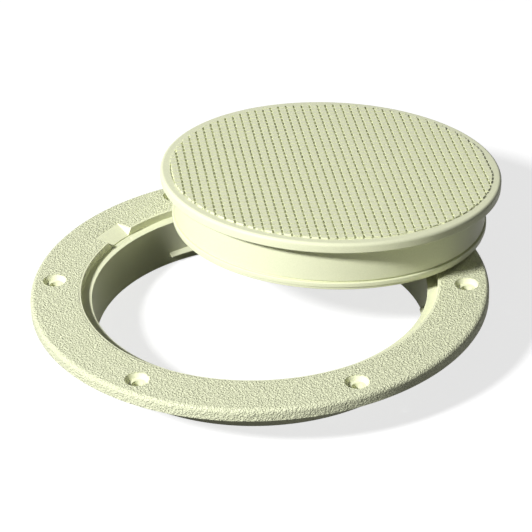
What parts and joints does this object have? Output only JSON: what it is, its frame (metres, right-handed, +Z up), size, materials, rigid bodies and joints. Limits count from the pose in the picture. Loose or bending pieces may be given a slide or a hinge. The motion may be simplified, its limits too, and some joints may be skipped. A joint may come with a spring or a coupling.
{
  "type": "deck inspection plate",
  "caption": "Round screw-down deck inspection plate: a collar ring with sunk screw holes and a pry notch, and its studded press-in lid lifted out and laid across the ring.",
  "frame": {"origin": "centre of the ring on the deck surface, which is the underside of the flange", "axes": "+Z up out of the deck along the ring's axis, +X through a screw hole"},
  "size_m": [0.2093, 0.2367, 0.0578],
  "materials": {
    "ring_plastic": "ivory moulded plastic with a fine pebble grain on the flange and smooth recess and collar",
    "lid_plastic": "ivory moulded plastic, satin rim and skirt, studded non-skid top"
  },
  "bodies": {
    "ring": {"deck_ring": "ring_plastic"},
    "lid": {"deck_lid": "lid_plastic"}
  },
  "joints": [
    {"name": "lid_lift", "type": "slide", "parent": "ring", "child": "lid", "axis": [0, 0, 1], "range_m": [0, 0.06]}
  ]
}
